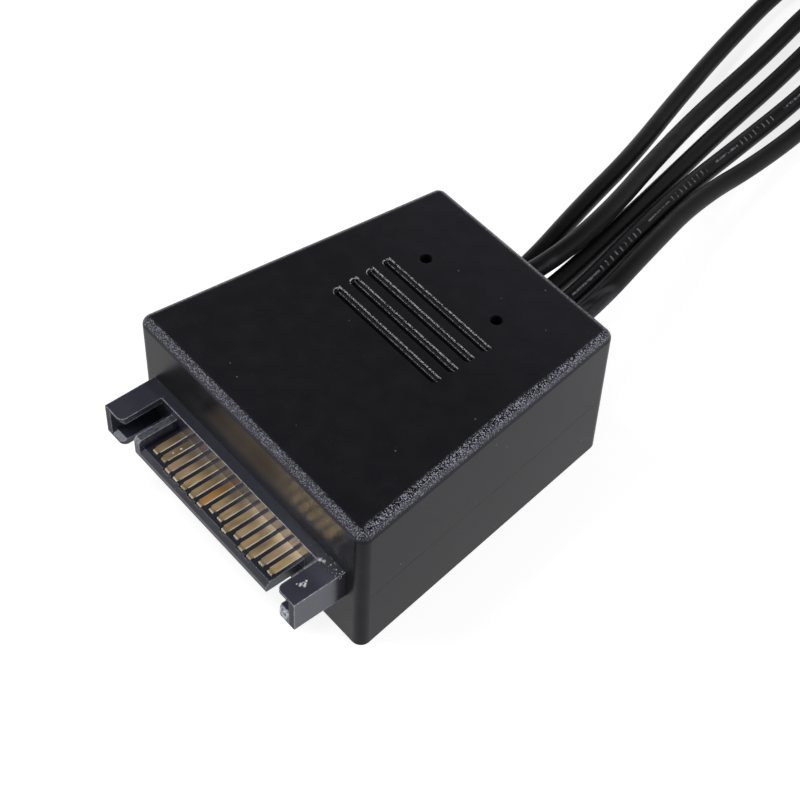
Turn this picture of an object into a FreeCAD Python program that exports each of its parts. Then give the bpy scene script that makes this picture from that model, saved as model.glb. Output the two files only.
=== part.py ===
import FreeCAD, Part
import math
import os

Vector = FreeCAD.Vector

# All sizes are in millimetres. X runs across the contacts, the plug mates towards -Y, Z is up.
# The origin is at the bottom centre of the housing and plug together.

# Overmoulded housing: a block that is wide at the plug and narrower at the wires
housing_front_width = 33.8
housing_back_width = 25.45
housing_length = 34.2
housing_height = 16.95
housing_corner_radius = 1.05
housing_top_radius = 0.95
housing_bottom_radius = 0.12

# Half-round grip grooves across the top, counted from the plug end
groove_count = 4
groove_length = 15.0
groove_width = 0.95
groove_pitch = 2.05
groove_setback = 16.85
# the grooves and the holes behind them lie a little to one side of the middle
grip_shift = -0.5

# Blind holes that the mould's core pins leave in the top
pin_hole_diameter = 1.25
pin_hole_depth = 1.8
pin_hole_spacing = 10.3
pin_hole_setback = 26.25

# Plug insulator: a base between two channel arms, with the contact tongue in the middle
plug_span = 29.3
plug_height = 3.74
plug_lift = 6.37
base_reach = 1.12
seat_depth = 6.0
flange_thickness = 1.6
flange_reach = 0.8
arm_reach = 5.84
arm_width = 2.6
arm_wall = 0.75
arm_corner_radius = 0.7
arm_lead_in = 0.5

# Contact tongue and the key rib along its edge
tongue_reach = 5.52
tongue_width = 20.57
tongue_shift = -0.18
tongue_thickness = 1.23
tongue_lift = 0.46
tongue_bevel_depth = 0.45
tongue_bevel_height = 0.55
key_width = 0.8
key_height = 1.05
key_bevel = 0.3

# Plug contacts, in five groups of three, with two lengths so that some mate first
contact_count = 15
contacts_per_wire = 3
short_contacts = (1, 2, 8, 9, 11, 14, 15)
contact_pitch = 1.27
contact_row_shift = 0.42
contact_width = 0.84
contact_thickness = 0.25
contact_proud = 0.06
contact_long_reach = 5.0
contact_short_reach = 4.56
contact_tip_length = 0.4
contact_tip_inset = 0.09
contact_bevel_length = 0.2
contact_bevel_drop = 0.08
contact_tip_gap = 0.15
contact_tail = 3.2

# Wires and their stripped ends, which are spread flat and soldered across three tails
wire_count = 5
wire_diameter = 2.1
wire_height = 8.6
wire_end_depth = 13.0
wire_fan_start = 18.5
strand_diameter = 1.2
strand_flat_height = 0.5
strand_flat_length = 2.6
strand_blend_start = 9.6
strand_round_flat = 0.04

# Receptacle at the far end, which mates with the same kind of plug
cable_reach = 95.0
receptacle_x = -17.9
receptacle_length = 15.0
receptacle_height = 6.0
receptacle_floor = 1.3
receptacle_corner_radius = 0.5
mate_clearance = 0.2
cover_thickness = 3.0
peg_diameter = 1.2
peg_length = 2.0
peg_inset = 1.0
peg_clearance = 0.05
receptacle_wire_height = 3.0

# Receptacle terminals: three spring fingers on one strip, with a crimped barrel
finger_width = 0.6
strip_thickness = 0.25
terminal_clearance = 0.1
barrel_diameter = 1.8
barrel_length = 3.2
barrel_sink = 0.15
strip_length = 5.0
finger_reach = 10.2
finger_bow_reach = 9.2
finger_preload = 0.15
finger_tip_lift = 0.45
chamber_end_wall = 0.9

# Where the wires run: x, y from the housing's back face, height of the centre
wire_routes = (
    ((-3.5, -7.2, 6.85), (-5.2, 5.8, 6.95), (-8.75, 16.9, 6.3), (-12.35, 28.6, 4.7),
     (-17.55, 41.6, 2.6), (-22.25, 55.4, 1.25), (-25.7, 69.4, 1.15)),
    ((-3.5, -7.2, 9.75), (-2.5, 6.0, 9.6), (-4.95, 17.2, 8.35), (-9.6, 29.2, 5.7),
     (-14.05, 42.0, 2.9), (-17.35, 55.8, 1.3), (-20.7, 69.9, 1.15)),
    ((0.4, -7.2, 8.25), (-0.55, 5.7, 8.05), (-3.5, 16.8, 6.65), (-7.1, 28.8, 4.4),
     (-10.75, 41.8, 2.4), (-13.7, 55.6, 1.2), (-16.8, 69.6, 1.15)),
    ((3.15, -7.2, 8.65), (2.05, 5.9, 8.85), (-1.0, 16.9, 7.7), (-4.65, 28.7, 5.1),
     (-7.4, 41.6, 2.6), (-9.85, 55.5, 1.2), (-12.8, 69.8, 1.15)),
    ((5.85, -7.2, 9.05), (4.9, 5.6, 9.55), (1.65, 16.6, 8.45), (-2.35, 28.5, 5.6),
     (-4.0, 41.5, 2.7), (-6.25, 55.2, 1.2), (-9.0, 69.2, 1.15)),
)
wire_last_bend = 83.9

# Places that follow from the sizes above
front_face = (arm_reach - housing_length) / 2
back_face = front_face + housing_length
plug_top = plug_lift + plug_height
tongue_bottom = plug_lift + tongue_lift
tongue_top = tongue_bottom + tongue_thickness
contact_top = tongue_top + contact_proud
contact_bottom = contact_top - contact_thickness
channel_bottom = plug_lift + arm_wall
channel_top = plug_top - arm_wall
arm_inner = plug_span / 2 - arm_width
seat_back = front_face + seat_depth
wire_end = front_face + wire_end_depth
receptacle_rear = back_face + cable_reach
receptacle_front = receptacle_rear + receptacle_length
cover_front = receptacle_rear + cover_thickness
# heights in the plug move down by this much in the receptacle, which lies on the floor
receptacle_drop = tongue_bottom - mate_clearance - receptacle_floor
strip_bottom = receptacle_wire_height + barrel_diameter / 2 - barrel_sink
bow_bottom = contact_top - receptacle_drop - finger_preload


def block(x0, x1, y0, y1, z0, z1):
    return Part.makeBox(x1 - x0, y1 - y0, z1 - z0, Vector(x0, y0, z0))


def closed_face(points):
    return Part.Face(Part.makePolygon(points + points[:1]))


def side_profile(outline, x0, x1):
    # an outline in Y and Z, drawn out along X
    face = closed_face([Vector(x0, y, z) for y, z in outline])
    return face.extrude(Vector(x1 - x0, 0, 0))


def front_profile(outline, y0, y1):
    # an outline in X and Z, drawn out along Y
    face = closed_face([Vector(x, y0, z) for x, z in outline])
    return face.extrude(Vector(0, y1 - y0, 0))


def plan_profile(outline, z0, z1):
    # an outline in X and Y, drawn out along Z
    face = closed_face([Vector(x, y, z0) for x, y in outline])
    return face.extrude(Vector(0, 0, z1 - z0))


def edges_inside(shape, low, high, slack=0.01):
    # the edges that lie wholly in the box between two corners
    chosen = []
    for edge in shape.Edges:
        box = edge.BoundBox
        over = (box.XMin > low[0] - slack and box.YMin > low[1] - slack and box.ZMin > low[2] - slack)
        under = (box.XMax < high[0] + slack and box.YMax < high[1] + slack and box.ZMax < high[2] + slack)
        if over and under:
            chosen.append(edge)
    return chosen


def upright_edges(shape):
    return [edge for edge in shape.Edges if edge.BoundBox.XLength + edge.BoundBox.YLength < 0.01]


def lengthwise_edges(shape):
    return [edge for edge in shape.Edges if edge.BoundBox.XLength + edge.BoundBox.ZLength < 0.01]


def edges_at_height(shape, height):
    reach = 1000.0
    return edges_inside(shape, (-reach, -reach, height), (reach, reach, height))


def group_x(index):
    # middle of a group of three contacts, which share one wire
    group_pitch = contact_pitch * contacts_per_wire
    return contact_row_shift + group_pitch * (index - (wire_count - 1) / 2)


def contact_x(number):
    return contact_row_shift + contact_pitch * (number - (contact_count + 1) / 2)


def contact_reach(number):
    if number in short_contacts:
        return contact_short_reach
    return contact_long_reach


def wire_points(index):
    points = [Vector(group_x(index), wire_end, wire_height)]
    points.append(Vector(group_x(index), front_face + wire_fan_start, wire_height))
    for x, y, z in wire_routes[index]:
        points.append(Vector(x, back_face + y, z))
    last_x = receptacle_x + group_x(index)
    points.append(Vector(last_x, back_face + wire_last_bend, receptacle_wire_height))
    points.append(Vector(last_x, cover_front, receptacle_wire_height))
    return points


def bent_path(points):
    # straight runs joined by tangent arcs that are as large as the runs allow
    edges = []
    radii = []
    start = points[0]
    for before, corner, after in zip(points, points[1:], points[2:]):
        back = (before - corner).normalize()
        ahead = (after - corner).normalize()
        half_turn = (math.pi - back.getAngle(ahead)) / 2
        setback = 0.45 * min((before - corner).Length, (after - corner).Length)
        radius = setback / math.tan(half_turn)
        inward = (back + ahead).normalize()
        arc_start = corner + back * setback
        arc_middle = corner + inward * (radius / math.cos(half_turn) - radius)
        arc_end = corner + ahead * setback
        edges.append(Part.LineSegment(start, arc_start).toShape())
        edges.append(Part.Arc(arc_start, arc_middle, arc_end).toShape())
        radii.append(radius)
        start = arc_end
    edges.append(Part.LineSegment(start, points[-1]).toShape())
    return Part.Wire(edges), radii


def make_wire(index):
    points = wire_points(index)
    path, radii = bent_path(points)
    ring = Part.makeCircle(wire_diameter / 2, points[0], points[1] - points[0])
    tube = path.makePipeShell([Part.Wire(ring)], True, False)
    expected = math.pi * wire_diameter ** 2 / 4 * path.Length
    print("wire", index + 1, "length", round(path.Length, 2), "smallest radius", round(min(radii), 1),
          "volume ratio", round(tube.Volume / expected, 5))
    return tube


def make_contact(number):
    x = contact_x(number)
    tip = front_face - contact_reach(number)
    tail = seat_back + contact_tail
    shoulder = tip + contact_tip_length
    bevel_end = tip + contact_bevel_length
    half = contact_width / 2
    tip_half = half - contact_tip_inset
    side = side_profile([(tail, contact_bottom), (tail, contact_top), (bevel_end, contact_top),
                         (tip, contact_top - contact_bevel_drop), (tip, contact_bottom)],
                        x - half, x + half)
    plan = plan_profile([(x - half, tail), (x - half, shoulder), (x - tip_half, shoulder),
                         (x - tip_half, tip), (x + tip_half, tip), (x + tip_half, shoulder),
                         (x + half, shoulder), (x + half, tail)], contact_bottom, contact_top)
    return side.common(plan)


def contact_slot(number):
    # the passage through the base and the groove along the tongue, open a little past the tip
    half = contact_width / 2
    x = contact_x(number)
    tip = front_face - contact_reach(number) - contact_tip_gap
    passage = block(x - half, x + half, front_face - base_reach, seat_back, contact_bottom, contact_top)
    groove = block(x - half, x + half, tip, front_face - base_reach, contact_bottom, contact_top)
    return passage.fuse(groove)


def make_arm(side):
    # one channel arm, open towards the tongue and to the front; side is -1 or 1
    outer = side * plug_span / 2
    inner = side * arm_inner
    wall = outer - side * arm_wall
    front = front_face - arm_reach
    channel = [(inner, plug_top), (outer, plug_top), (outer, plug_lift), (inner, plug_lift),
               (inner, channel_bottom), (wall, channel_bottom), (wall, channel_top), (inner, channel_top)]
    arm = front_profile(channel, front, front_face - base_reach)
    corners = edges_inside(arm, (inner, front, channel_top), (inner, front, plug_top))
    corners += edges_inside(arm, (inner, front, plug_lift), (inner, front, channel_bottom))
    arm = arm.makeFillet(arm_corner_radius, corners)
    # lead-in bevels on the two plates
    low, high = sorted((inner, wall))
    for face_z, inward in ((channel_bottom, -1), (channel_top, 1)):
        bevel = [(front, face_z), (front + arm_lead_in, face_z), (front, face_z + inward * arm_lead_in)]
        arm = arm.cut(side_profile(bevel, low, high))
    return arm


def make_tongue():
    left = tongue_shift - tongue_width / 2
    right = left + tongue_width
    tip = front_face - tongue_reach
    root = front_face - base_reach
    bevel_bottom = tongue_top - tongue_bevel_height
    blade = side_profile([(root, tongue_bottom), (root, tongue_top), (tip + tongue_bevel_depth, tongue_top),
                          (tip, bevel_bottom), (tip, tongue_bottom)], left, right)
    key_top = tongue_top + key_height
    key = side_profile([(root, tongue_bottom), (root, key_top), (tip + key_bevel, key_top),
                        (tip, key_top - key_bevel), (tip, tongue_bottom)], left, left + key_width)
    return blade.fuse(key)


def make_insulator():
    half = plug_span / 2
    base = block(-half, half, front_face - base_reach, seat_back, plug_lift, plug_top)
    flange = block(-half - flange_reach, half + flange_reach, seat_back - flange_thickness, seat_back,
                   plug_lift - flange_reach, plug_top + flange_reach)
    body = base.fuse([flange, make_tongue(), make_arm(-1), make_arm(1)])
    slots = [contact_slot(number) for number in range(1, contact_count + 1)]
    return body.cut(slots).removeSplitter()


def flat_round(width, height, centre, y):
    # a wire outline with round ends, across Y
    x, z = centre
    radius = height / 2
    run = (width - height) / 2
    points = [Vector(x - run, y, z + radius), Vector(x + run, y, z + radius), Vector(x + run + radius, y, z),
              Vector(x + run, y, z - radius), Vector(x - run, y, z - radius), Vector(x - run - radius, y, z)]
    edges = [Part.LineSegment(points[0], points[1]).toShape(),
             Part.Arc(points[1], points[2], points[3]).toShape(),
             Part.LineSegment(points[3], points[4]).toShape(),
             Part.Arc(points[4], points[5], points[0]).toShape()]
    return Part.Wire(edges)


def make_strands(index):
    # the bare end: round at the wire, spread flat over the three tails that it is soldered to
    x = group_x(index)
    spread = contact_pitch * (contacts_per_wire - 1) + contact_width
    flat_centre = (x, contact_top + strand_flat_height / 2)
    blend_start = front_face + strand_blend_start
    round_end = flat_round(strand_diameter + strand_round_flat, strand_diameter, (x, wire_height), wire_end)
    flat_end = flat_round(spread, strand_flat_height, flat_centre, blend_start)
    blend = Part.makeLoft([round_end, flat_end], True)
    pad = Part.Face(flat_end).extrude(Vector(0, -strand_flat_length, 0))
    return blend.fuse(pad).removeSplitter()


def make_housing(moulded_in):
    half_front = housing_front_width / 2
    half_back = housing_back_width / 2
    body = plan_profile([(-half_front, front_face), (half_front, front_face),
                         (half_back, back_face), (-half_back, back_face)], 0, housing_height)
    body = body.makeFillet(housing_corner_radius, upright_edges(body))
    body = body.makeFillet(housing_top_radius, edges_at_height(body, housing_height))
    body = body.makeFillet(housing_bottom_radius, edges_at_height(body, 0))
    cuts = []
    radius = groove_width / 2
    run = groove_length / 2 - radius
    for number in range(groove_count):
        y = front_face + groove_setback + groove_pitch * number
        start = Vector(grip_shift - run, y, housing_height)
        end = Vector(grip_shift + run, y, housing_height)
        groove = Part.makeCylinder(radius, 2 * run, start, Vector(1, 0, 0))
        cuts.append(groove.fuse([Part.makeSphere(radius, start), Part.makeSphere(radius, end)]))
    for side in (-1, 1):
        x = grip_shift + side * pin_hole_spacing / 2
        mouth = Vector(x, front_face + pin_hole_setback, housing_height)
        cuts.append(Part.makeCylinder(pin_hole_diameter / 2, pin_hole_depth, mouth, Vector(0, 0, -1)))
    return body.cut(cuts).cut(moulded_in)


def make_terminal(index):
    x = receptacle_x + group_x(index)
    # side outline of the strip and its bowed fingers, from the cover to the finger tips
    lower = [(cover_front, strip_bottom), (cover_front + strip_length, strip_bottom),
             (cover_front + finger_bow_reach, bow_bottom),
             (cover_front + finger_reach, bow_bottom + finger_tip_lift)]
    upper = [(y, z + strip_thickness) for y, z in reversed(lower)]
    outline = lower + upper
    fingers = []
    for step in range(contacts_per_wire):
        middle = x + contact_pitch * (step - (contacts_per_wire - 1) / 2)
        fingers.append(side_profile(outline, middle - finger_width / 2, middle + finger_width / 2))
    span = contact_pitch * (contacts_per_wire - 1) + finger_width
    strip = block(x - span / 2, x + span / 2, cover_front, cover_front + strip_length,
                  strip_bottom, strip_bottom + strip_thickness)
    barrel = Part.makeCylinder(barrel_diameter / 2, barrel_length,
                               Vector(x, cover_front, receptacle_wire_height), Vector(0, 1, 0))
    return strip.fuse(fingers + [barrel]).removeSplitter()


def receptacle_half_width():
    return arm_inner - mate_clearance


def make_receptacle_housing():
    half = receptacle_half_width()
    low = receptacle_x - half
    high = receptacle_x + half
    body = block(low, high, cover_front, receptacle_front, 0, receptacle_height)
    body = body.makeFillet(receptacle_corner_radius, lengthwise_edges(body))
    # guide ribs that run in the plug's channel arms
    rib_reach = half + arm_width - arm_wall
    rib_low = channel_bottom - receptacle_drop + mate_clearance
    rib_high = channel_top - receptacle_drop - mate_clearance
    rib_back = receptacle_front - (arm_reach - base_reach)
    ribs = block(receptacle_x - rib_reach, receptacle_x + rib_reach, rib_back, receptacle_front,
                 rib_low, rib_high)
    body = body.fuse(ribs)
    # the slot for the tongue and its key
    slot_back = receptacle_front - (tongue_reach - base_reach) - mate_clearance
    left = receptacle_x + tongue_shift - tongue_width / 2 - mate_clearance
    right = left + tongue_width + 2 * mate_clearance
    slot_low = tongue_bottom - receptacle_drop - mate_clearance
    slot_high = contact_top - receptacle_drop + mate_clearance
    key_right = left + key_width + 2 * mate_clearance
    key_high = tongue_top + key_height - receptacle_drop + mate_clearance
    slot = front_profile([(left, slot_low), (right, slot_low), (right, slot_high), (key_right, slot_high),
                          (key_right, key_high), (left, key_high)], slot_back, receptacle_front)
    cuts = [slot]
    # one chamber for each terminal, open at the back and into the slot
    span = contact_pitch * (contacts_per_wire - 1) + finger_width + 2 * terminal_clearance
    for index in range(wire_count):
        x = receptacle_x + group_x(index)
        ceiling = strip_bottom + strip_thickness
        barrel_floor = receptacle_wire_height - barrel_diameter / 2 - terminal_clearance
        barrel_end = cover_front + barrel_length + terminal_clearance
        cuts.append(block(x - span / 2, x + span / 2, cover_front, barrel_end, barrel_floor, ceiling))
        cuts.append(block(x - span / 2, x + span / 2, cover_front, receptacle_front - chamber_end_wall,
                          slot_high, ceiling))
    for peg_x in peg_places():
        cuts.append(Part.makeCylinder(peg_diameter / 2 + peg_clearance, peg_length + peg_clearance,
                                      Vector(peg_x, cover_front, receptacle_wire_height), Vector(0, 1, 0)))
    return body.cut(cuts).removeSplitter()


def peg_places():
    reach = receptacle_half_width() - peg_inset
    return (receptacle_x - reach, receptacle_x + reach)


def make_receptacle_cover():
    half = receptacle_half_width()
    cover = block(receptacle_x - half, receptacle_x + half, receptacle_rear, cover_front,
                  0, receptacle_height)
    cover = cover.makeFillet(receptacle_corner_radius, lengthwise_edges(cover))
    pegs = [Part.makeCylinder(peg_diameter / 2, peg_length,
                              Vector(peg_x, cover_front, receptacle_wire_height),
                              Vector(0, 1, 0)) for peg_x in peg_places()]
    cover = cover.fuse(pegs)
    bores = [Part.makeCylinder(wire_diameter / 2, cover_thickness,
                               Vector(receptacle_x + group_x(index), receptacle_rear, receptacle_wire_height),
                               Vector(0, 1, 0)) for index in range(wire_count)]
    return cover.cut(bores)


def build():
    pieces = {}
    insulator = make_insulator()
    pieces["plug_insulator"] = insulator
    for number in range(1, contact_count + 1):
        pieces["plug_contact_%02d" % number] = make_contact(number)
    for index in range(wire_count):
        pieces["wire_%d" % (index + 1)] = make_wire(index)
        pieces["soldered_strands_%d" % (index + 1)] = make_strands(index)
    pieces["housing"] = make_housing(list(pieces.values()))
    pieces["receptacle_housing"] = make_receptacle_housing()
    pieces["receptacle_cover"] = make_receptacle_cover()
    for index in range(wire_count):
        pieces["receptacle_terminal_%d" % (index + 1)] = make_terminal(index)
    return pieces


os.makedirs("parts", exist_ok=True)
for name, shape in build().items():
    print(name, "valid", shape.isValid(), "solids", len(shape.Solids), "volume", round(shape.Volume, 2))
    shape.exportStep("parts/%s.step" % name)
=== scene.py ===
import math

import bmesh
import bpy
from mathutils import Matrix, Vector


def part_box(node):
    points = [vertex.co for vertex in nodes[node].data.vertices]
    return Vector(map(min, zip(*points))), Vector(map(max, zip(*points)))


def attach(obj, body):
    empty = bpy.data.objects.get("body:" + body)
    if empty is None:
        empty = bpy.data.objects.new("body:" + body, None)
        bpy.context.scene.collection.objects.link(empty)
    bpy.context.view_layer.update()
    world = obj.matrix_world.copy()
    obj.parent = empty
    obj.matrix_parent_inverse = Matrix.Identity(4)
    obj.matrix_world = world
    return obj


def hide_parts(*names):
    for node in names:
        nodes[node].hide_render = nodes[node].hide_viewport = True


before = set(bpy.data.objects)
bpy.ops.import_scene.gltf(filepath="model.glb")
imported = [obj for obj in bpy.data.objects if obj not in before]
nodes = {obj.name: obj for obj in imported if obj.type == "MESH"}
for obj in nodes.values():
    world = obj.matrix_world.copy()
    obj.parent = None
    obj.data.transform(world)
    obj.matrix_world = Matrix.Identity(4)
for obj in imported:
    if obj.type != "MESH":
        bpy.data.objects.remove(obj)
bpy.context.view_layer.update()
mm = 0.001
housingLow, housingHigh = [[value / mm for value in corner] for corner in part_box("housing")]
print("frame loaded,", len(nodes), "pieces")


# sizes and places in the settings are in mm unless a note says otherwise
def metres(values):
    return [value * mm for value in values]


def addObject(name, data):
    thing = bpy.data.objects.new(name, data)
    bpy.context.scene.collection.objects.link(thing)
    return thing


# camera, placed from the plug's and the housing's edges
cameraSettings = {
    "place": (89.522, -75.693, 149.821),
    "turn": (39.937, -1.701, 50.189),  # degrees
    "lens": 85.561,
    "sensor": 36.0,
    "clip": (0.01, 20.0),  # metres
}


def makeCamera(settings):
    data = bpy.data.cameras.new("camera")
    data.sensor_fit = "HORIZONTAL"
    data.sensor_width = settings["sensor"]
    data.lens = settings["lens"]
    data.clip_start, data.clip_end = settings["clip"]
    camera = addObject("camera", data)
    camera.location = metres(settings["place"])
    camera.rotation_euler = [math.radians(value) for value in settings["turn"]]
    bpy.context.scene.camera = camera
    bpy.context.scene.view_settings.view_transform = "Standard"


makeCamera(cameraSettings)
print("camera set")


# small tools for the material nodes
toolSettings = {
    "speckCore": 0.4,  # share of a speck's size that is solid
    "spotCore": 0.35,
    "edgeTurn": (0.995, 0.86),  # how far the softened normal leaves the plain one at an edge
    "edgeOpen": (0.97, 0.75),  # how much is open on the inner side of an edge
    "samples": 6,
}
noiseSpan = (0.25, 0.75)  # where most values of a noise lie


def feed(tree, socket, value):
    if isinstance(value, bpy.types.NodeSocket):
        tree.links.new(value, socket)
    else:
        socket.default_value = value


def addNode(tree, kind, inputs=None, **settings):
    node = tree.nodes.new("ShaderNode" + kind)
    for name, value in settings.items():
        setattr(node, name, value)
    for name, value in (inputs or {}).items():
        feed(tree, node.inputs[name], value)
    return node


def calc(tree, operation, *values):
    node = addNode(tree, "Math", operation=operation)
    for socket, value in zip(node.inputs, values):
        feed(tree, socket, value)
    return node.outputs[0]


def product(tree, first, *others):
    for other in others:
        first = calc(tree, "MULTIPLY", first, other)
    return first


def largest(tree, first, *others):
    for other in others:
        first = calc(tree, "MAXIMUM", first, other)
    return first


def vectorCalc(tree, operation, a, b):
    node = addNode(tree, "VectorMath", operation=operation)
    feed(tree, node.inputs[0], a)
    feed(tree, node.inputs[1], b)
    return node


def ease(tree, value, low, high, start=0.0, end=1.0):
    node = addNode(tree, "MapRange", {"Value": value, "From Min": low, "From Max": high,
                                      "To Min": start, "To Max": end}, interpolation_type="SMOOTHSTEP")
    return node.outputs[0]


def swing(tree, mask, outside, inside):
    return ease(tree, mask, 0.0, 1.0, outside, inside)


def linear(tree, share, start, end):
    return calc(tree, "MULTIPLY_ADD", share, end - start, start)


def between(tree, value, low, high, soft):
    # one inside a range, with soft ends
    rise = ease(tree, value, low - soft, low + soft)
    return product(tree, rise, ease(tree, value, high + soft, high - soft))


def blendColour(tree, share, a, b):
    node = addNode(tree, "Mix", data_type="RGBA")
    feed(tree, node.inputs[0], share)
    feed(tree, node.inputs[6], a)
    feed(tree, node.inputs[7], b)
    return node.outputs[2]


def noise(tree, place, scale, detail=2.0, rough=0.5):
    node = addNode(tree, "TexNoise", {"Vector": place, "Scale": scale, "Detail": detail, "Roughness": rough})
    return node.outputs[0]


def stretched(tree, place, factors):
    return vectorCalc(tree, "MULTIPLY", place, factors).outputs[0]


def parts(tree, vector):
    return addNode(tree, "SeparateXYZ", {"Vector": vector}).outputs


def surfaceNormal(tree):
    return addNode(tree, "NewGeometry").outputs["Normal"]


def specks(tree, place, scale, size, share):
    # small dots in a share of the cells
    cell = addNode(tree, "TexVoronoi", {"Vector": place, "Scale": scale})
    dot = ease(tree, cell.outputs["Distance"], size, size * toolSettings["speckCore"])
    pick = calc(tree, "GREATER_THAN", parts(tree, cell.outputs["Color"])[0], 1.0 - share)
    return product(tree, dot, pick)


def spot(tree, place, centre, radius):
    # one soft round mark
    far = vectorCalc(tree, "DISTANCE", place, metres(centre)).outputs["Value"]
    return ease(tree, far, radius * mm, radius * mm * toolSettings["spotCore"])


def marksAt(tree, place, marks):
    return largest(tree, *[spot(tree, place, centre, radius) for centre, radius in marks])


def roundedNormal(tree, radius):
    # normal that softens the sharp edges of a piece
    return addNode(tree, "Bevel", {"Radius": radius * mm}, samples=toolSettings["samples"]).outputs[0]


def edgeMask(tree, radius):
    # one near the sharp edges of a piece
    same = vectorCalc(tree, "DOT_PRODUCT", roundedNormal(tree, radius), surfaceNormal(tree))
    return ease(tree, same.outputs["Value"], *toolSettings["edgeTurn"])


def outerEdges(tree, reach):
    # one near edges that stand out, nothing in inner corners
    node = addNode(tree, "AmbientOcclusion", {"Distance": reach * mm}, samples=toolSettings["samples"],
                   inside=True, only_local=True)
    return ease(tree, node.outputs["AO"], *toolSettings["edgeOpen"])


def relief(tree, height, depth, strength, normal=None):
    node = addNode(tree, "Bump", {"Height": height, "Distance": depth * mm, "Strength": strength})
    if normal:
        feed(tree, node.inputs["Normal"], normal)
    return node.outputs[0]


def startMaterial(name):
    material = bpy.data.materials.new(name)
    material.use_nodes = True
    tree = material.node_tree
    return material, tree, addNode(tree, "TexCoord").outputs["Object"]


def setShader(tree, inputs):
    shader = tree.nodes["Principled BSDF"]
    for name, value in inputs.items():
        feed(tree, shader.inputs[name], value)


def dress(name, material):
    node = nodes[name]
    node.data.materials.clear()
    node.data.materials.append(material)


# five wires from the housing to the far connector
wireSettings = {
    "diameter": 2.1,
    "bodyRings": 12,
    "fineness": 24,
    "lengths": (123.50, 122.59, 121.80, 121.72, 121.89),
    "pitch": 3.81,
    "startX": -7.2,
    "startY": (-1.18, 4.32),
    "startHeight": 8.6,
    "endX": -25.1,
    "endY": (103.92, 118.02),
    "endHeight": 3.0,
    "carrier": 2,  # the wire picked for the far connector; its pieces are listed in makeWire but not attached
    "dark": (0.0046, 0.0046, 0.0052, 1.0),
    "pale": (0.0068, 0.0068, 0.0077, 1.0),
    "cloudScale": 160.0,
    "drawn": (1.0, 0.12, 1.0),  # the fine streaks run along the wires
    "drawnNoise": (900.0, 3.0),  # scale, detail
    "dust": (0.05, 0.05, 0.052, 1.0),
    "dustSpecks": (700.0, 0.07, 0.5),  # scale, size, share of the cells
    "smear": (0.042, 0.042, 0.047, 1.0),
    "smears": (((4.6, 27.3, 10.0), 2.6), ((4.9, 24.6, 10.1), 1.8), ((-2.5, 25.8, 10.2), 1.9)),
    "smearBreaks": (0.40, 0.66),
    "gloss": 0.09,
    "rough": (0.2, 0.8, 0.34, 0.50),  # from this range of the streaks, to this range
    "relief": (0.012, 0.6),  # depth, strength
}
markSettings = {
    "wire": 3,
    "colour": (0.13, 0.13, 0.15, 1.0),
    "side": (0.288, 0.171, 0.943),
    "tickPitch": 0.95,
    "tickWidth": 0.24,  # share of the pitch
    "tickReach": (0.945, 0.962),
    "groupPitch": 15.0,
    "ticksTo": 0.55,  # shares of a group
    "lineFrom": 0.68,
    "lineReach": (0.9905, 0.9935),
    "wearScale": 2600.0,
    "wear": (0.34, 0.58),
}
# x, y from the housing's back face, height
wireRoutes = (
    ((-3.5, -7.2, 6.85), (-5.2, 5.8, 6.95), (-8.75, 16.9, 6.3), (-12.35, 28.6, 4.7),
     (-17.55, 41.6, 2.6), (-22.25, 55.4, 1.25), (-25.7, 69.4, 1.15)),
    ((-3.5, -7.2, 9.75), (-2.5, 6.0, 9.6), (-4.95, 17.2, 8.35), (-9.6, 29.2, 5.7),
     (-14.05, 42.0, 2.9), (-17.35, 55.8, 1.3), (-20.7, 69.9, 1.15)),
    ((0.4, -7.2, 8.2), (-0.78, 5.7, 8.0), (-3.58, 16.8, 6.65), (-7.1, 28.8, 4.4),
     (-10.75, 41.8, 2.4), (-13.7, 55.6, 1.2), (-16.8, 69.6, 1.15)),
    ((3.15, -7.2, 8.65), (2.05, 5.9, 8.85), (-1.0, 16.9, 7.7), (-4.65, 28.7, 5.1),
     (-7.4, 41.6, 2.6), (-9.85, 55.5, 1.2), (-12.8, 69.8, 1.15)),
    ((5.75, -7.2, 9.05), (4.7, 5.6, 9.55), (1.52, 16.6, 8.45), (-2.35, 28.5, 5.6),
     (-4.0, 41.5, 2.7), (-6.25, 55.2, 1.2), (-9.0, 69.2, 1.15)),
)
wireCount = len(wireRoutes)


def tickMarks(tree, place, settings):
    # plain ticks in groups with a thin line between them, along the side that shows
    along = parts(tree, place)[1]
    step = calc(tree, "FRACT", calc(tree, "DIVIDE", along, settings["tickPitch"] * mm))
    group = calc(tree, "FRACT", calc(tree, "DIVIDE", along, settings["groupPitch"] * mm))
    facing = vectorCalc(tree, "DOT_PRODUCT", surfaceNormal(tree), settings["side"]).outputs["Value"]
    tick = product(tree, calc(tree, "LESS_THAN", step, settings["tickWidth"]),
                   ease(tree, facing, *settings["tickReach"]),
                   calc(tree, "LESS_THAN", group, settings["ticksTo"]))
    line = product(tree, calc(tree, "GREATER_THAN", group, settings["lineFrom"]),
                   ease(tree, facing, *settings["lineReach"]))
    worn = ease(tree, noise(tree, place, settings["wearScale"]), *settings["wear"])
    return product(tree, largest(tree, tick, line), worn)


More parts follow.
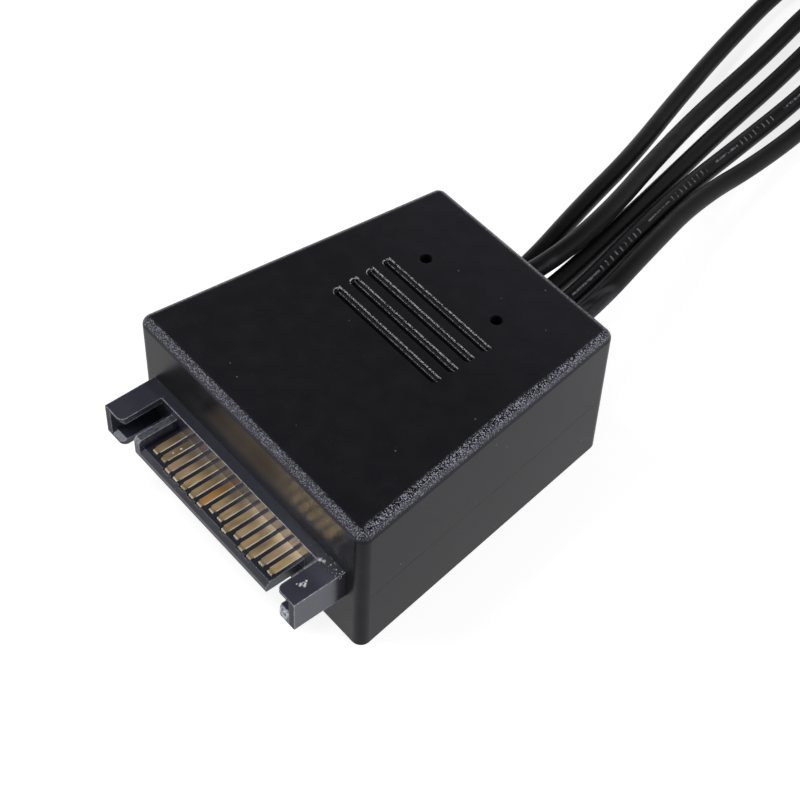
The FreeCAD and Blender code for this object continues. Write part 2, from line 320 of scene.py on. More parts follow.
def wireJacket(name, settings, marks=None):
    material, tree, place = startMaterial(name)
    along = noise(tree, stretched(tree, place, settings["drawn"]), *settings["drawnNoise"])
    cloud = noise(tree, place, settings["cloudScale"])
    dust = specks(tree, place, *settings["dustSpecks"])
    smears = product(tree, marksAt(tree, place, settings["smears"]),
                     ease(tree, along, *settings["smearBreaks"]))
    colour = blendColour(tree, cloud, settings["dark"], settings["pale"])
    colour = blendColour(tree, dust, colour, settings["dust"])
    colour = blendColour(tree, smears, colour, settings["smear"])
    if marks:
        colour = blendColour(tree, tickMarks(tree, place, marks), colour, marks["colour"])
    setShader(tree, {
        "Base Color": colour,
        "Specular IOR Level": settings["gloss"],
        "Roughness": ease(tree, along, *settings["rough"]),
        "Normal": relief(tree, along, *settings["relief"]),
    })
    return material


def wireRoute(index, settings):
    aside = index * settings["pitch"]
    route = [(settings["startX"] + aside, y, settings["startHeight"]) for y in settings["startY"]]
    route += [(x, housingHigh[1] + y, z) for x, y, z in wireRoutes[index]]
    return route + [(settings["endX"] + aside, y, settings["endHeight"]) for y in settings["endY"]]


def makeWire(index, settings, material):
    route = wireRoute(index, settings)
    curve = bpy.data.curves.new("wire", "CURVE")
    curve.dimensions = "3D"
    spline = curve.splines.new("NURBS")
    spline.points.add(len(route) - 1)
    for point, at in zip(spline.points, route):
        point.co = (*metres(at), 1.0)
    spline.order_u = 3
    spline.use_endpoint_u = True
    curve.resolution_u = settings["fineness"]
    curve.bevel_depth = settings["diameter"] * mm / 2
    curve.bevel_resolution = settings["bodyRings"]
    curve.use_fill_caps = True
    curve.materials.append(material)
    wire = addObject("jacketed_wire_%d" % (index + 1), curve)
    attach(wire, "root")
    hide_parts("wire_%d" % (index + 1))
    carried = ["receptacle_terminal_%d" % (index + 1)]
    if index == settings["carrier"]:
        carried += ["receptacle_housing", "receptacle_cover"]


plainJacket = wireJacket("wireJacket", wireSettings)
markedJacket = wireJacket("markedJacket", wireSettings, markSettings)
for number in range(wireCount):
    makeWire(number, wireSettings, markedJacket if number == markSettings["wire"] else plainJacket)
print("wires laid")


# overmoulded housing, satin on its faces and grained on its rounded top edges, with painted glints on those
# edges and painted shade and highlights in the grip grooves
housingSettings = {
    "dark": (0.0036, 0.0035, 0.0046, 1.0),
    "pale": (0.0054, 0.0052, 0.0068, 1.0),
    "cloudNoise": (110.0, 3.0),  # scale, detail
    "back": (0.0100, 0.0098, 0.0122, 1.0),
    "backFrom": (2.0, 20.0),
    "shade": (0.0110, 0.0105, 0.0170, 1.0),
    "shadeTurns": ((0.03, 0.14), (0.58, 0.36)),
    "shadeGloss": 0.60,
    "dust": (0.42, 0.42, 0.43, 1.0),
    "dustSpecks": (520.0, 0.045, 0.6),  # scale, size, share of the cells
    "dustShare": 0.5,
    "powderSpecks": (1500.0, 0.10, 0.4),
    "powderShare": 0.07,
    "tint": (0.87, 0.87, 1.0, 1.0),
    "sideGloss": 0.118,
    "topGloss": 0.36,
    "edgeGloss": 0.30,
    "sideRough": 0.35,
    "topRough": 0.36,
    "edgeRough": 0.28,
    "topTurn": (0.05, 0.45),
    "mottleNoise": (520.0, 4.0),
    "mottleGloss": (0.90, 1.10),
    "mottleRough": 0.10,
    "grainNoise": (7300.0, 2.0, 0.6),  # scale, detail, roughness
    "grainDepth": 0.055,
    "grainStrength": (0.05, 0.90),  # faces, edges
}
topEdgeSettings = {
    "sideAcross": (0.9927, 0.1212, 0.0),  # square to the slanted side
    "sideReach": 15.06,
    "sideBand": (1.00, 1.42),
    "sideNarrow": 0.3,  # at the back
    "narrowFrom": (4.0, 15.0),
    "frontBand": (0.72, 0.98),
    "roundTurn": (0.99, 0.93),
    "upTurn": (0.34, 0.58),
    # pale specks on the rounded edges, partly wear and partly a painted glint
    "rubAndGlint": (0.36, 0.36, 0.43, 1.0),
    "glintTurn": (0.66, 0.46, -0.05, 1.0),  # from this turn towards +X, to this share
    "rubAndGlintShare": (0.50, 0.90),
    "rubAndGlintGrain": (0.50, 0.61),
}
frontSettings = {
    "turn": (-0.97, -0.99),
    "glossyEnd": (2.5, 8.5),
    "glossyLow": (10.2, 12.2),
    "glossyFactor": 2.0,
    "glossyRough": -0.10,
    "streakStretch": (1.0, 1.0, 0.35),
    "streakNoise": (1100.0, 2.0),
    "streakGloss": (0.35, 0.65, 0.75, 1.2),
    "stripX": (-8.0, 12.4),
    "stripZ": (9.5, 12.9),
    "stripSoft": (3.0, 1.2),
    "stripFactor": 2.8,
}
grooveSettings = {
    "middleX": -0.5,
    "half": 7.5,
    "radius": 0.475,
    "firstY": 2.67,
    "pitch": 2.05,
    "rows": (1.6, 10.0),  # from before the first groove to past the last
    "depths": (0.7, 0.05),
    "endSoft": 0.05,
    "soft": 0.02,
    # painted shade inside the grooves
    "sunk": (0.0012, 0.0012, 0.0015, 1.0),
    "sunkGloss": 0.25,
    # painted highlight on the far lip, the end rim and a fine line inside
    "lipGlint": (0.46, 0.46, 0.48, 1.0),
    "lipBand": (0.210, 0.270, 0.015),  # low, high and softness, in pitches
    "lipDepths": (0.18, 0.10),
    "lipGrain": (0.44, 0.56),
    "rimReach": (0.44, 0.54),
    "rimEnd": (0.1, -0.1),
    "fineGlintTurn": (-0.52, -0.40, 0.05),
    "fineGlintShare": 0.75,
}


def gripGrooves(tree, at, facing, settings):
    # three masks: inside the grooves, for painted shade; on the far lip and the end rim of each, and on a
    # fine line within, for painted highlights
    top = housingHigh[2]
    half, pitch, soft = metres((settings["half"], settings["pitch"], settings["soft"]))
    along = calc(tree, "SUBTRACT", at[0], settings["middleX"] * mm)
    rows = between(tree, at[1], *metres(settings["rows"]), soft)
    field = product(tree, between(tree, along, -half, half, settings["endSoft"] * mm), rows)
    across = calc(tree, "DIVIDE", calc(tree, "SUBTRACT", at[1], settings["firstY"] * mm), pitch)
    across = calc(tree, "SUBTRACT", across, calc(tree, "ROUND", across))
    low, high = [(top - depth) * mm for depth in settings["depths"]]
    sunk = product(tree, field, between(tree, at[2], low, high, soft))
    lipGlint = product(tree, field, between(tree, across, *settings["lipBand"]))
    # the rim is round the end towards -X, a painted highlight
    past = calc(tree, "ADD", along, (settings["half"] - settings["radius"]) * mm)
    aside = product(tree, across, pitch)
    far = calc(tree, "ADD", calc(tree, "POWER", past, 2.0), calc(tree, "POWER", aside, 2.0))
    rimGlint = between(tree, calc(tree, "SQRT", far), *metres(settings["rimReach"]), soft)
    rimGlint = product(tree, rimGlint, ease(tree, past, *metres(settings["rimEnd"])), rows)
    low, high = [(top - depth) * mm for depth in settings["lipDepths"]]
    lipGlint = product(tree, largest(tree, lipGlint, rimGlint), ease(tree, at[2], low, high))
    fine = product(tree, sunk, between(tree, facing[1], *settings["fineGlintTurn"]))
    return sunk, lipGlint, fine


def topEdges(tree, place, at, facing, settings):
    # two masks: the rounded top edges, with a band in from the front and the +X side, and that side alone
    flat = largest(tree, *[calc(tree, "ABSOLUTE", value) for value in facing])
    thin, wide = [settings["sideReach"] - value for value in settings["sideBand"]]
    side = vectorCalc(tree, "DOT_PRODUCT", place, settings["sideAcross"]).outputs["Value"]
    narrow = ease(tree, at[1], *metres(settings["narrowFrom"]), 0.0, settings["sideNarrow"] * mm)
    side = ease(tree, calc(tree, "SUBTRACT", side, narrow), wide * mm, thin * mm)
    thin, wide = [housingLow[1] + value for value in settings["frontBand"]]
    front = ease(tree, at[1], wide * mm, thin * mm)
    edge = largest(tree, ease(tree, flat, *settings["roundTurn"]), side, front)
    return product(tree, edge, ease(tree, facing[2], *settings["upTurn"])), side


def frontShine(tree, place, at, facing, settings):
    # the front face is glossier towards one end, in streaks, and in a strip just above the plug
    ahead = ease(tree, facing[1], *settings["turn"])
    streaks = noise(tree, stretched(tree, place, settings["streakStretch"]), *settings["streakNoise"])
    polish = product(tree, ease(tree, at[0], *metres(settings["glossyEnd"])), ahead,
                     ease(tree, at[2], *metres(settings["glossyLow"])),
                     ease(tree, streaks, *settings["streakGloss"]))
    softX, softZ = metres(settings["stripSoft"])
    strip = product(tree, between(tree, at[0], *metres(settings["stripX"]), softX),
                    between(tree, at[2], *metres(settings["stripZ"]), softZ), ahead)
    shine = linear(tree, polish, 1.0, settings["glossyFactor"])
    return polish, calc(tree, "MULTIPLY_ADD", strip, settings["stripFactor"] - 1.0, shine)


def housingVinyl(settings, edges, ahead, grooves):
    material, tree, place = startMaterial("housingVinyl")
    at = parts(tree, place)
    facing = parts(tree, surfaceNormal(tree))
    grain = noise(tree, place, *settings["grainNoise"])
    cloud = noise(tree, place, *settings["cloudNoise"])
    mottle = noise(tree, place, *settings["mottleNoise"])
    sunk, lipGlint, fine = gripGrooves(tree, at, facing, grooves)
    edge, side = topEdges(tree, place, at, facing, edges)
    edge = product(tree, edge, calc(tree, "SUBTRACT", 1.0, sunk))
    polish, shine = frontShine(tree, place, at, facing, ahead)
    # painted shade: a darker bluish strip runs below the rounded edges, less glossy too
    under = product(tree, *[ease(tree, facing[2], *turn) for turn in settings["shadeTurns"]])
    colour = blendColour(tree, cloud, settings["dark"], settings["pale"])
    colour = blendColour(tree, ease(tree, at[1], *metres(settings["backFrom"])), colour, settings["back"])
    colour = blendColour(tree, under, colour, settings["shade"])
    # painted highlight: the rounded edges turn pale in grainy specks, partly rubbed and partly a painted
    # glint, more towards +X, most of all where they turn flat
    share = product(tree, side, ease(tree, facing[0], *edges["glintTurn"]))
    share = linear(tree, share, *edges["rubAndGlintShare"])
    worn = product(tree, edge, ease(tree, grain, *edges["rubAndGlintGrain"]), share)
    colour = blendColour(tree, worn, colour, edges["rubAndGlint"])
    # painted shade inside the grooves
    colour = blendColour(tree, sunk, colour, grooves["sunk"])
    # painted highlights on the far lip, the end rims and the fine line
    grooveGlints = largest(tree, lipGlint, product(tree, fine, grooves["fineGlintShare"]))
    grooveGlints = product(tree, grooveGlints, ease(tree, grain, *grooves["lipGrain"]))
    colour = blendColour(tree, grooveGlints, colour, grooves["lipGlint"])
    dust = product(tree, specks(tree, place, *settings["dustSpecks"]), settings["dustShare"])
    powder = product(tree, specks(tree, place, *settings["powderSpecks"]), settings["powderShare"])
    colour = blendColour(tree, largest(tree, dust, powder), colour, settings["dust"])
    upward = ease(tree, facing[2], *settings["topTurn"])
    gloss = swing(tree, upward, settings["sideGloss"], settings["topGloss"])
    gloss = calc(tree, "MULTIPLY_ADD", edge, settings["edgeGloss"] - settings["topGloss"], gloss)
    gloss = product(tree, gloss, swing(tree, under, 1.0, settings["shadeGloss"]),
                    swing(tree, sunk, 1.0, grooves["sunkGloss"]),
                    ease(tree, mottle, *noiseSpan, *settings["mottleGloss"]), shine)
    rough = swing(tree, upward, settings["sideRough"], settings["topRough"])
    rough = calc(tree, "MULTIPLY_ADD", edge, settings["edgeRough"] - settings["topRough"], rough)
    uneven = calc(tree, "SUBTRACT", mottle, sum(noiseSpan) / 2)
    rough = calc(tree, "MULTIPLY_ADD", uneven, settings["mottleRough"], rough)
    rough = calc(tree, "MULTIPLY_ADD", polish, ahead["glossyRough"], rough)
    strength = linear(tree, edge, *settings["grainStrength"])
    setShader(tree, {
        "Base Color": colour,
        "Specular IOR Level": gloss,
        "Specular Tint": settings["tint"],
        "Roughness": rough,
        "Normal": relief(tree, grain, settings["grainDepth"], strength),
    })
    return material


dress("housing", housingVinyl(housingSettings, topEdgeSettings, frontSettings, grooveSettings))


# fine line where the two halves of the housing's mould met
seamSettings = {
    "height": 7.35,
    "width": 0.08,
    "proud": 0.007,
    "sunk": 0.03,
    "shoulder": (0.75, 0.5),  # shares of the line's height and half width
    "plugSide": 15.2,
    "frontHalf": 16.9,
    "backHalf": 12.725,
    "corner": 1.05,
    "cornerSteps": 10,
    "dark": (0.0030, 0.0030, 0.0036, 1.0),
    "pale": (0.0060, 0.0060, 0.0072, 1.0),
    "breakNoise": (420.0, 3.0),
    "breaks": (0.40, 0.52),
    "gloss": (0.08, 0.118),
    "rough": 0.4,
}


def seamVinyl(settings):
    # duller than the faces beside it, in short stretches
    material, tree, place = startMaterial("seamVinyl")
    broken = ease(tree, noise(tree, place, *settings["breakNoise"]), *settings["breaks"])
    setShader(tree, {
        "Base Color": blendColour(tree, broken, settings["dark"], settings["pale"]),
        "Specular IOR Level": swing(tree, broken, *settings["gloss"]),
        "Roughness": settings["rough"],
    })
    return material


def roundedCorner(at, before, after, radius, steps):
    # points and outward normals of one corner of the housing's outline
    a, b = (before - at).normalized(), (after - at).normalized()
    half = a.angle(b) / 2
    middle = at + (a + b).normalized() * (radius / math.sin(half))
    start = at + a * (radius / math.tan(half)) - middle
    end = at + b * (radius / math.tan(half)) - middle
    turn = start.angle_signed(end)
    result = []
    for step in range(steps + 1):
        spoke = start.copy()
        spoke.rotate(Matrix.Rotation(-turn * step / steps, 2))
        result.append((middle + spoke, spoke.normalized()))
    return result


def seamLine(settings):
    # from the plug's right side round the back to its left side
    front, back = housingLow[1], housingHigh[1]
    wide, narrow = settings["frontHalf"], settings["backHalf"]
    ring = [Vector(at) for at in ((-wide, front), (wide, front), (narrow, back), (-narrow, back))]
    forward = Vector((0.0, -1.0))
    line = [(Vector((settings["plugSide"], front)), forward)]
    for index in (1, 2, 3, 0):
        before, after = ring[index - 1], ring[(index + 1) % len(ring)]
        line += roundedCorner(ring[index], before, after, settings["corner"], settings["cornerSteps"])
    return line + [(Vector((-settings["plugSide"], front)), forward)]


def mouldSeam(settings, material):
    sunk, proud = -settings["sunk"], settings["proud"]
    tall, wide = settings["shoulder"]
    profile = ((sunk, -1.0), (0.0, -1.0), (proud * tall, -wide), (proud, 0.0),
               (proud * tall, wide), (0.0, 1.0), (sunk, 1.0))
    mesh = bmesh.new()
    rows = []
    for at, out in seamLine(settings):
        row = []
        for push, lift in profile:
            point = at + out * push
            height = settings["height"] + lift * settings["width"] / 2
            row.append(mesh.verts.new((point.x * mm, point.y * mm, height * mm)))
        rows.append(row)
    count = len(profile)
    for one, two in zip(rows, rows[1:]):
        for k in range(count):
            mesh.faces.new((one[k], two[k], two[(k + 1) % count], one[(k + 1) % count]))
    mesh.faces.new(rows[0])
    mesh.faces.new(rows[-1][::-1])
    bmesh.ops.recalc_face_normals(mesh, faces=mesh.faces)
    data = bpy.data.meshes.new("mould_seam")
    mesh.to_mesh(data)
    mesh.free()
    for face in data.polygons:
        face.use_smooth = True
    data.materials.append(material)
    seam = addObject("mould_seam", data)
    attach(seam, "root")


mouldSeam(seamSettings, seamVinyl(seamSettings))
print("housing finished")


# glossy plug moulding with worn edges and scuffs, painted edge highlights, and painted shade between the
# arms and on the front ends
plugSettings = {
    "dark": (0.029, 0.031, 0.044, 1.0),
    "pale": (0.050, 0.052, 0.070, 1.0),
    "cloudNoise": (260.0, 3.0),  # scale, detail
    "fineNoise": (3800.0, 2.0),
    "rubStretch": (1.0, 0.5, 1.0),
    "rubNoise": (5200.0, 3.0),
    "tint": (0.86, 0.88, 1.0, 1.0),
    "gloss": 0.43,
    "rough": (0.16, 0.28),
    "relief": (0.006, 0.5),  # depth, strength
    "softEdge": 0.07,
    # painted shade between the arms and on the base behind them
    "shadeDark": (0.018, 0.019, 0.027, 1.0),
    "shadePale": (0.031, 0.032, 0.043, 1.0),
    "shadeX": (-9.6, 11.6),
    "shadeBack": (-15.9, -15.1),
    # painted shade on the faces that look forward
    "ahead": (0.004, 0.004, 0.006, 1.0),
    "aheadTurn": (-0.60, -0.95),
    "aheadFrom": -18.0,
    "aheadWear": 0.3,
    "aheadEnds": (-19.95, -19.80),  # arms, tongue
    "aheadRough": (0.62, 0.38),
    "soft": 0.05,
    # pale colour for worn edges, painted edge highlights and dust
    "edge": (0.52, 0.52, 0.58, 1.0),
    "edgeWidth": 0.20,
    "edgeBreaks": (0.20, 0.60),
    "fieldX": (-9.18, 10.02),
    "fieldY": (-19.4, -15.15),
    "fieldTop": 9.0,
    "fieldSoft": 0.03,
    "keyX": (-10.47, -9.66),
    "keyFoot": 8.3,
    "keySoft": 0.02,
    "keyRub": 0.09,
    "keyBreaks": (0.30, 0.60, 0.4, 1.6),
    "rubs": (((13.0, -20.02, 6.75), 0.8), ((12.5, -20.02, 6.9), 0.6)),
    "rubBreaks": (0.40, 0.62),
    "scuff": (0.72, 0.72, 0.74, 1.0),
    "flakes": (((13.25, -18.1, 10.11), 0.30), ((13.30, -17.8, 10.11), 0.28), ((13.48, -17.95, 10.11), 0.22),
               ((13.18, -17.5, 10.11), 0.18), ((12.95, -18.35, 10.11), 0.12),
               ((12.15, -15.12, 10.11), 0.26), ((12.5, -14.95, 10.11), 0.22)),
    "flakeBreaks": (0.34, 0.48),
    "crumbs": (((12.2, -14.7, 10.11), 0.9), ((13.5, -14.5, 10.11), 1.1), ((14.4, -14.6, 10.11), 0.8)),
    "crumbSpecks": (4200.0, 0.34, 0.7),  # scale, size, share of the cells
    "dustSpecks": (1100.0, 0.07, 0.6),
    "dustShare": 0.35,
}


def plugEdgeWearAndHighlight(tree, at, ahead, fine, settings):
    # pale edges that stand out, partly wear and partly a painted highlight, less so on the front ends and
    # not between the contacts
    edges = product(tree, edgeMask(tree, settings["edgeWidth"]), ease(tree, fine, *settings["edgeBreaks"]))
    field = product(tree, between(tree, at[0], *metres(settings["fieldX"]), settings["soft"] * mm),
                    between(tree, at[1], *metres(settings["fieldY"]), settings["fieldSoft"] * mm),
                    calc(tree, "LESS_THAN", at[2], settings["fieldTop"] * mm))
    return product(tree, edges, calc(tree, "SUBTRACT", 1.0, field),
                   outerEdges(tree, settings["edgeWidth"]), swing(tree, ahead, 1.0, settings["aheadWear"]))


def plugPlastic(settings):
    material, tree, place = startMaterial("plugPlastic")
    at = parts(tree, place)
    facing = parts(tree, surfaceNormal(tree))
    cloud = noise(tree, place, *settings["cloudNoise"])
    fine = noise(tree, place, *settings["fineNoise"])
    rubbed = noise(tree, stretched(tree, place, settings["rubStretch"]), *settings["rubNoise"])
    # painted shade: darker between the arms, on the base behind them and on the front ends
    ahead = product(tree, ease(tree, facing[1], *settings["aheadTurn"]),
                    calc(tree, "LESS_THAN", at[1], settings["aheadFrom"] * mm))
    paintedShade = between(tree, at[0], *metres(settings["shadeX"]), settings["soft"] * mm)
    paintedShade = largest(tree, paintedShade, ease(tree, at[1], *metres(settings["shadeBack"])))
    shadedColour = blendColour(tree, cloud, settings["shadeDark"], settings["shadePale"])
    colour = blendColour(tree, cloud, settings["dark"], settings["pale"])
    colour = blendColour(tree, paintedShade, colour, shadedColour)
    colour = blendColour(tree, ahead, colour, settings["ahead"])
    # the key is rubbed as far back as the painted shade on the base
    key = product(tree, between(tree, at[0], *metres(settings["keyX"]), settings["keySoft"] * mm),
                  calc(tree, "GREATER_THAN", at[2], settings["keyFoot"] * mm),
                  calc(tree, "SUBTRACT", settings["keyRub"], paintedShade),
                  ease(tree, rubbed, *settings["keyBreaks"]))
    rubs = product(tree, marksAt(tree, place, settings["rubs"]), ease(tree, fine, *settings["rubBreaks"]))
    # edge wear with painted highlight lines, rubs and the rubbed key
    wear = largest(tree, plugEdgeWearAndHighlight(tree, at, ahead, fine, settings), rubs, key)
    colour = blendColour(tree, wear, colour, settings["edge"])
    flakes = product(tree, marksAt(tree, place, settings["flakes"]),
                     ease(tree, rubbed, *settings["flakeBreaks"]))
    crumbs = product(tree, marksAt(tree, place, settings["crumbs"]),
                     specks(tree, place, *settings["crumbSpecks"]))
    colour = blendColour(tree, largest(tree, flakes, crumbs), colour, settings["scuff"])
    dust = product(tree, specks(tree, place, *settings["dustSpecks"]), settings["dustShare"])
    colour = blendColour(tree, dust, colour, settings["edge"])
    rough = ease(tree, cloud, *noiseSpan, *settings["rough"])
    matte = ease(tree, at[1], *metres(settings["aheadEnds"]), *settings["aheadRough"])
    setShader(tree, {
        "Base Color": colour,
        "Specular IOR Level": settings["gloss"],
        "Specular Tint": settings["tint"],
        "Roughness": largest(tree, rough, product(tree, ahead, matte)),
        "Normal": relief(tree, fine, *settings["relief"], roundedNormal(tree, settings["softEdge"])),
    })
    return material


dress("plug_insulator", plugPlastic(plugSettings))
print("plug moulding finished")


# fifteen gold plated blades, each tarnished in its own way
contactSettings = {
    "count": 15,
    "firstX": -8.47,
    "pitch": 1.27,
    "root": -15.3,
    "gold": (0.88, 0.64, 0.33, 1.0),
    "tarnish": (0.50, 0.36, 0.21, 1.0),
    "tarnishStretch": (1.0, 0.35, 1.0),
    "tarnishNoise": (900.0, 3.0),  # scale, detail
    "tarnishBreaks": (0.26, 0.56),
    "blush": (0.74, 0.52, 0.37, 1.0),
    "blushOwn": (0.45, 1.0, 0.0, 0.8),  # from this range of a blade's own number, to this share
    "brownOnes": 1.5,
    "brownShare": 0.7,
    "amber": (0.95, 0.46, 0.10, 1.0),
    "amberOne": (6, 0.1),  # number, tolerance
    "amberShare": 0.7,
    "haze": (0.62, 0.58, 0.58, 1.0),
    "hazeLength": 1.5,
    "hazeShare": 0.25,
    # painted shade near the root
    "rootShade": (0.0, 0.0, 0.0, 1.0),
    "rootShadeReach": (2.7, 0.3),  # ahead of the root
    "rootShadeOnes": (6.8, 11.2, 0.30, 0.86),  # from these blades, to this share kept
    "tip": (0.58, 0.41, 0.22, 1.0),
    "tipShare": (0.032, 0.016),
    # pale metal for wear and painted highlights
    "bare": (0.92, 0.86, 0.72, 1.0),
    "bareMetal": 0.2,
    "bareEdge": (0.245, 0.272),  # in pitches
    "bareEnd": (0.0100, 0.0060),
    "bareOwn": (0.2, 0.6, 0.5, 1.0),
    "bareBreaks": (0.30, 0.55, 0.35, 1.0),
    "nicks": (((-7.25, -17.5, 8.12), 0.14), ((-7.2, -16.6, 8.12), 0.17)),
    "rubStretch": (1.0, 0.10, 1.0),
    "rubNoise": (6500.0, 3.0),
    "rough": (0.34, 0.48),
    "relief": (0.004, 0.6),  # depth, strength
    "softEdge": 0.03,
    "levelTurn": (0.85, 0.90),
}


def contactGold(settings):
    material, tree, place = startMaterial("contactGold")
    at = parts(tree, place)
    across = calc(tree, "SUBTRACT", at[0], settings["firstX"] * mm)
    across = calc(tree, "DIVIDE", across, settings["pitch"] * mm)
    number = calc(tree, "ROUND", across)
    across = calc(tree, "SUBTRACT", across, number)
    own = addNode(tree, "TexWhiteNoise", {"W": number}, noise_dimensions="1D").outputs["Value"]
    along = parts(tree, addNode(tree, "TexCoord").outputs["Generated"])[1]
    rubbed = noise(tree, stretched(tree, place, settings["rubStretch"]), *settings["rubNoise"])
    cloud = noise(tree, stretched(tree, place, settings["tarnishStretch"]), *settings["tarnishNoise"])
    clean = ease(tree, cloud, *settings["tarnishBreaks"])
    colour = blendColour(tree, clean, settings["tarnish"], settings["gold"])
    colour = blendColour(tree, ease(tree, own, *settings["blushOwn"]), colour, settings["blush"])
    brown = product(tree, calc(tree, "LESS_THAN", number, settings["brownOnes"]), settings["brownShare"])
    colour = blendColour(tree, brown, colour, settings["tarnish"])
    amber = product(tree, calc(tree, "COMPARE", number, *settings["amberOne"]), settings["amberShare"])
    colour = blendColour(tree, amber, colour, settings["amber"])
    root = settings["root"]
    haze = ease(tree, at[1], (root - settings["hazeLength"]) * mm, root * mm)
    colour = blendColour(tree, product(tree, haze, settings["hazeShare"]), colour, settings["haze"])
    # painted shade: darker towards the root, least on the last ones
    start, end = [(root - value) * mm for value in settings["rootShadeReach"]]
    kept = ease(tree, number, *settings["rootShadeOnes"])
    dull = product(tree, ease(tree, at[1], start, end), calc(tree, "SUBTRACT", 1.0, kept))
    colour = blendColour(tree, dull, colour, settings["rootShade"])
    colour = blendColour(tree, ease(tree, along, *settings["tipShare"]), colour, settings["tip"])
    # pale along one long edge and on the end, partly rubbed bare and partly a painted highlight, more on
    # some than on others, and rubbed bare at a few nicks
    end = product(tree, ease(tree, along, *settings["bareEnd"]), ease(tree, own, *settings["bareOwn"]))
    bare = largest(tree, ease(tree, across, *settings["bareEdge"]), end)
    bare = product(tree, bare, ease(tree, rubbed, *settings["bareBreaks"]))
    bare = largest(tree, bare, marksAt(tree, place, settings["nicks"]))
    colour = blendColour(tree, bare, colour, settings["bare"])
    # the slope at the tip is shaded with the flat top
    level = ease(tree, parts(tree, surfaceNormal(tree))[2], *settings["levelTurn"])
    normal = blendColour(tree, level, roundedNormal(tree, settings["softEdge"]), (0.0, 0.0, 1.0, 1.0))
    setShader(tree, {
        "Base Color": colour,
        "Metallic": linear(tree, bare, 1.0, settings["bareMetal"]),
        "Roughness": ease(tree, rubbed, *noiseSpan, *settings["rough"]),
        "Normal": relief(tree, rubbed, *settings["relief"], normal),
    })
    return material


gold = contactGold(contactSettings)
for number in range(1, contactSettings["count"] + 1):
    dress("plug_contact_%02d" % number, gold)
print("contacts finished")


# stripped wire ends, flattened in solder
strandSettings = {
    "bright": (0.70, 0.69, 0.66, 1.0),
    "dull": (0.42, 0.40, 0.37, 1.0),
    "cloudNoise": (1500.0, 3.0),  # scale, detail
    "copper": (0.60, 0.36, 0.22, 1.0),
    "copperFrom": (0.62, 0.75),
    "twist": {"Scale": 900.0, "Distortion": 1.5, "Detail": 2.0},
    "twistStretch": (1.0, 0.25, 1.0),
    "rough": (0.3, 0.7, 0.28, 0.5),
    "relief": (0.05, 0.8),  # depth, strength
}


def tinnedStrands(settings):
    material, tree, place = startMaterial("tinnedStrands")
    drawn = stretched(tree, place, settings["twistStretch"])
    twist = addNode(tree, "TexWave", {"Vector": drawn, **settings["twist"]}, bands_direction="X")
    cloud = noise(tree, place, *settings["cloudNoise"])
    colour = blendColour(tree, cloud, settings["dull"], settings["bright"])
    colour = blendColour(tree, ease(tree, cloud, *settings["copperFrom"]), colour, settings["copper"])
    setShader(tree, {
        "Base Color": colour,
        "Metallic": 1.0,
        "Roughness": ease(tree, cloud, *settings["rough"]),
        "Normal": relief(tree, twist.outputs["Fac"], *settings["relief"]),
    })
    return material


solder = tinnedStrands(strandSettings)
for number in range(1, wireCount + 1):
    dress("soldered_strands_%d" % number, solder)
print("solder joints finished")


# far connector with its cap and terminals
receptacleSettings = {
    "dark": (0.0075, 0.0075, 0.0085, 1.0),
    "pale": (0.0115, 0.0115, 0.0125, 1.0),
    "cloudNoise": (220.0, 3.0),  # scale, detail
    "fineNoise": (5200.0, 2.0),
    "edge": (0.16, 0.16, 0.17, 1.0),
    "edgeWidth": 0.09,
    "edgeBreaks": (0.3, 0.7),
    "edgeShare": 0.8,
    "dust": (0.30, 0.30, 0.31, 1.0),
    "dustSpecks": (520.0, 0.05, 0.5),  # scale, size, share of the cells
    "dustShare": 0.4,
    "gloss": 0.16,
    "rough": (0.38, 0.50),
    "relief": (0.008, 0.6),  # depth, strength
    "softEdge": 0.1,
}
terminalSettings = {
    "brass": (0.72, 0.58, 0.32, 1.0),
    "tin": (0.74, 0.72, 0.66, 1.0),
    "tinNoise": (700.0, 3.0),
    "tinBreaks": (0.4, 0.7),
    "rolled": (1.0, 0.12, 1.0),  # the fine streaks run along the strip
    "rolledNoise": (4200.0, 3.0),
    "rough": (0.24, 0.42),
    "relief": (0.004, 0.6),
}


def receptaclePlastic(settings):
    material, tree, place = startMaterial("receptaclePlastic")
    cloud = noise(tree, place, *settings["cloudNoise"])
    fine = noise(tree, place, *settings["fineNoise"])
    edges = product(tree, edgeMask(tree, settings["edgeWidth"]), ease(tree, fine, *settings["edgeBreaks"]),
                    settings["edgeShare"])
    dust = product(tree, specks(tree, place, *settings["dustSpecks"]), settings["dustShare"])
    colour = blendColour(tree, cloud, settings["dark"], settings["pale"])
    colour = blendColour(tree, edges, colour, settings["edge"])
    colour = blendColour(tree, dust, colour, settings["dust"])
    setShader(tree, {
        "Base Color": colour,
        "Specular IOR Level": settings["gloss"],
        "Roughness": ease(tree, cloud, *noiseSpan, *settings["rough"]),
        "Normal": relief(tree, fine, *settings["relief"], roundedNormal(tree, settings["softEdge"])),
    })
    return material


def terminalBrass(settings):
    material, tree, place = startMaterial("terminalBrass")
    rolled = noise(tree, stretched(tree, place, settings["rolled"]), *settings["rolledNoise"])
    tinned = ease(tree, noise(tree, place, *settings["tinNoise"]), *settings["tinBreaks"])
    setShader(tree, {
        "Base Color": blendColour(tree, tinned, settings["brass"], settings["tin"]),
        "Metallic": 1.0,
        "Roughness": ease(tree, rolled, *noiseSpan, *settings["rough"]),
        "Normal": relief(tree, rolled, *settings["relief"]),
    })
    return material


plastic = receptaclePlastic(receptacleSettings)
brass = terminalBrass(terminalSettings)
dress("receptacle_housing", plastic)
dress("receptacle_cover", plastic)
for number in range(1, wireCount + 1):
    dress("receptacle_terminal_%d" % number, brass)
print("far connector finished")


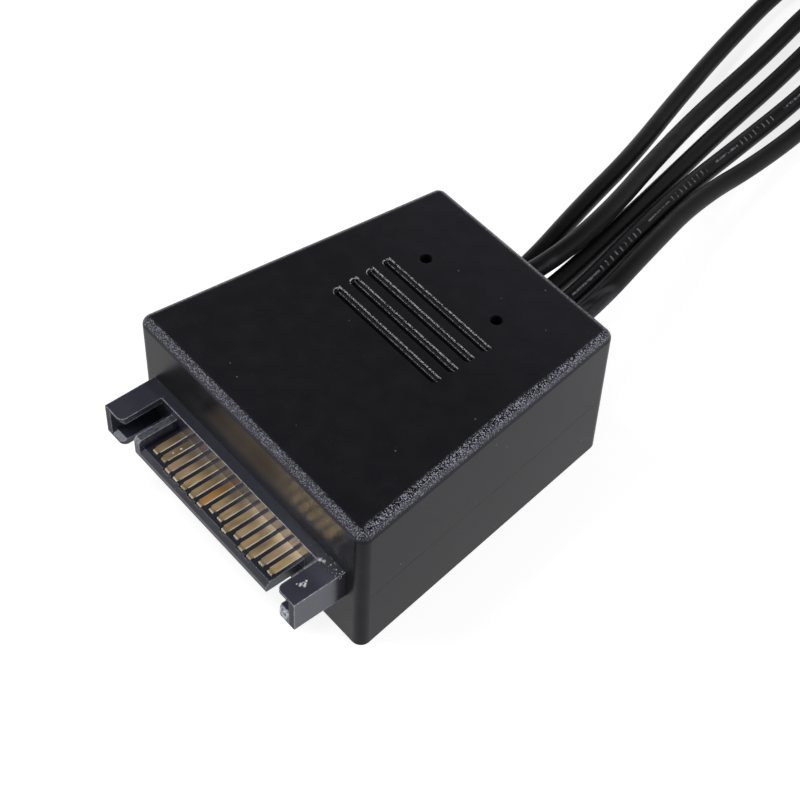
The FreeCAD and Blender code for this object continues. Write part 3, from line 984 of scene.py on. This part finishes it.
# white floor, soft boxes and a dome that darkens overhead, in metres
stageSettings = {
    "floorSize": 8.0,
    "floorTone": (0.42, 0.42, 0.42, 1.0),
    "floorRough": 0.9,
    "floorGlow": 0.80,
    "domeLow": (1.0, 1.0, 1.0, 1.0),
    "domeHigh": (0.14, 0.14, 0.15, 1.0),
    "domeFade": (0.20, 0.50),
    "domeLean": (0.26, 0.15, 0.0),
    # name, place, size, power
    "lamps": (
        ("sideBox", (0.36, 0.21, 0.24), 0.26, 0.90),
        ("frontBox", (-0.24, -0.38, 0.22), 0.16, 0.60),
        ("topBox", (-0.22, -0.165, 0.475), 0.20, 1.0),
    ),
    "aim": (0.0, 0.0, 0.01),
}


def makeFloor(settings):
    half = settings["floorSize"] / 2
    data = bpy.data.meshes.new("floor")
    corners = [(-half, -half, 0), (half, -half, 0), (half, half, 0), (-half, half, 0)]
    data.from_pydata(corners, [], [(0, 1, 2, 3)])
    material, tree = startMaterial("floorPaper")[:2]
    light = addNode(tree, "LightPath").outputs
    seen = largest(tree, light["Is Camera Ray"], light["Is Glossy Ray"], light["Is Transmission Ray"])
    setShader(tree, {
        "Base Color": settings["floorTone"],
        "Roughness": settings["floorRough"],
        "Specular IOR Level": 0.0,
        "Emission Color": (1.0, 1.0, 1.0, 1.0),
        "Emission Strength": product(tree, seen, settings["floorGlow"]),
    })
    data.materials.append(material)
    addObject("floor", data)


def makeDome(settings):
    world = bpy.data.worlds.new("dome")
    bpy.context.scene.world = world
    world.use_nodes = True
    tree = world.node_tree
    towards = addNode(tree, "TexCoord").outputs["Generated"]
    # the bright part reaches higher on one side
    lean = vectorCalc(tree, "DOT_PRODUCT", towards, settings["domeLean"]).outputs["Value"]
    up = calc(tree, "SUBTRACT", parts(tree, towards)[2], largest(tree, lean, 0.0))
    fade = ease(tree, up, *settings["domeFade"])
    sky = tree.nodes["Background"].inputs
    feed(tree, sky["Color"], blendColour(tree, fade, settings["domeLow"], settings["domeHigh"]))
    feed(tree, sky["Strength"], 1.0)


def makeLamps(settings):
    aim = Vector(settings["aim"])
    for name, place, size, power in settings["lamps"]:
        data = bpy.data.lights.new(name, "AREA")
        data.shape = "DISK"
        data.size = size
        data.energy = power
        lamp = addObject(name, data)
        lamp.location = place
        lamp.rotation_euler = (aim - Vector(place)).to_track_quat("-Z", "Y").to_euler()


makeFloor(stageSettings)
makeDome(stageSettings)
makeLamps(stageSettings)
print("stage lit")
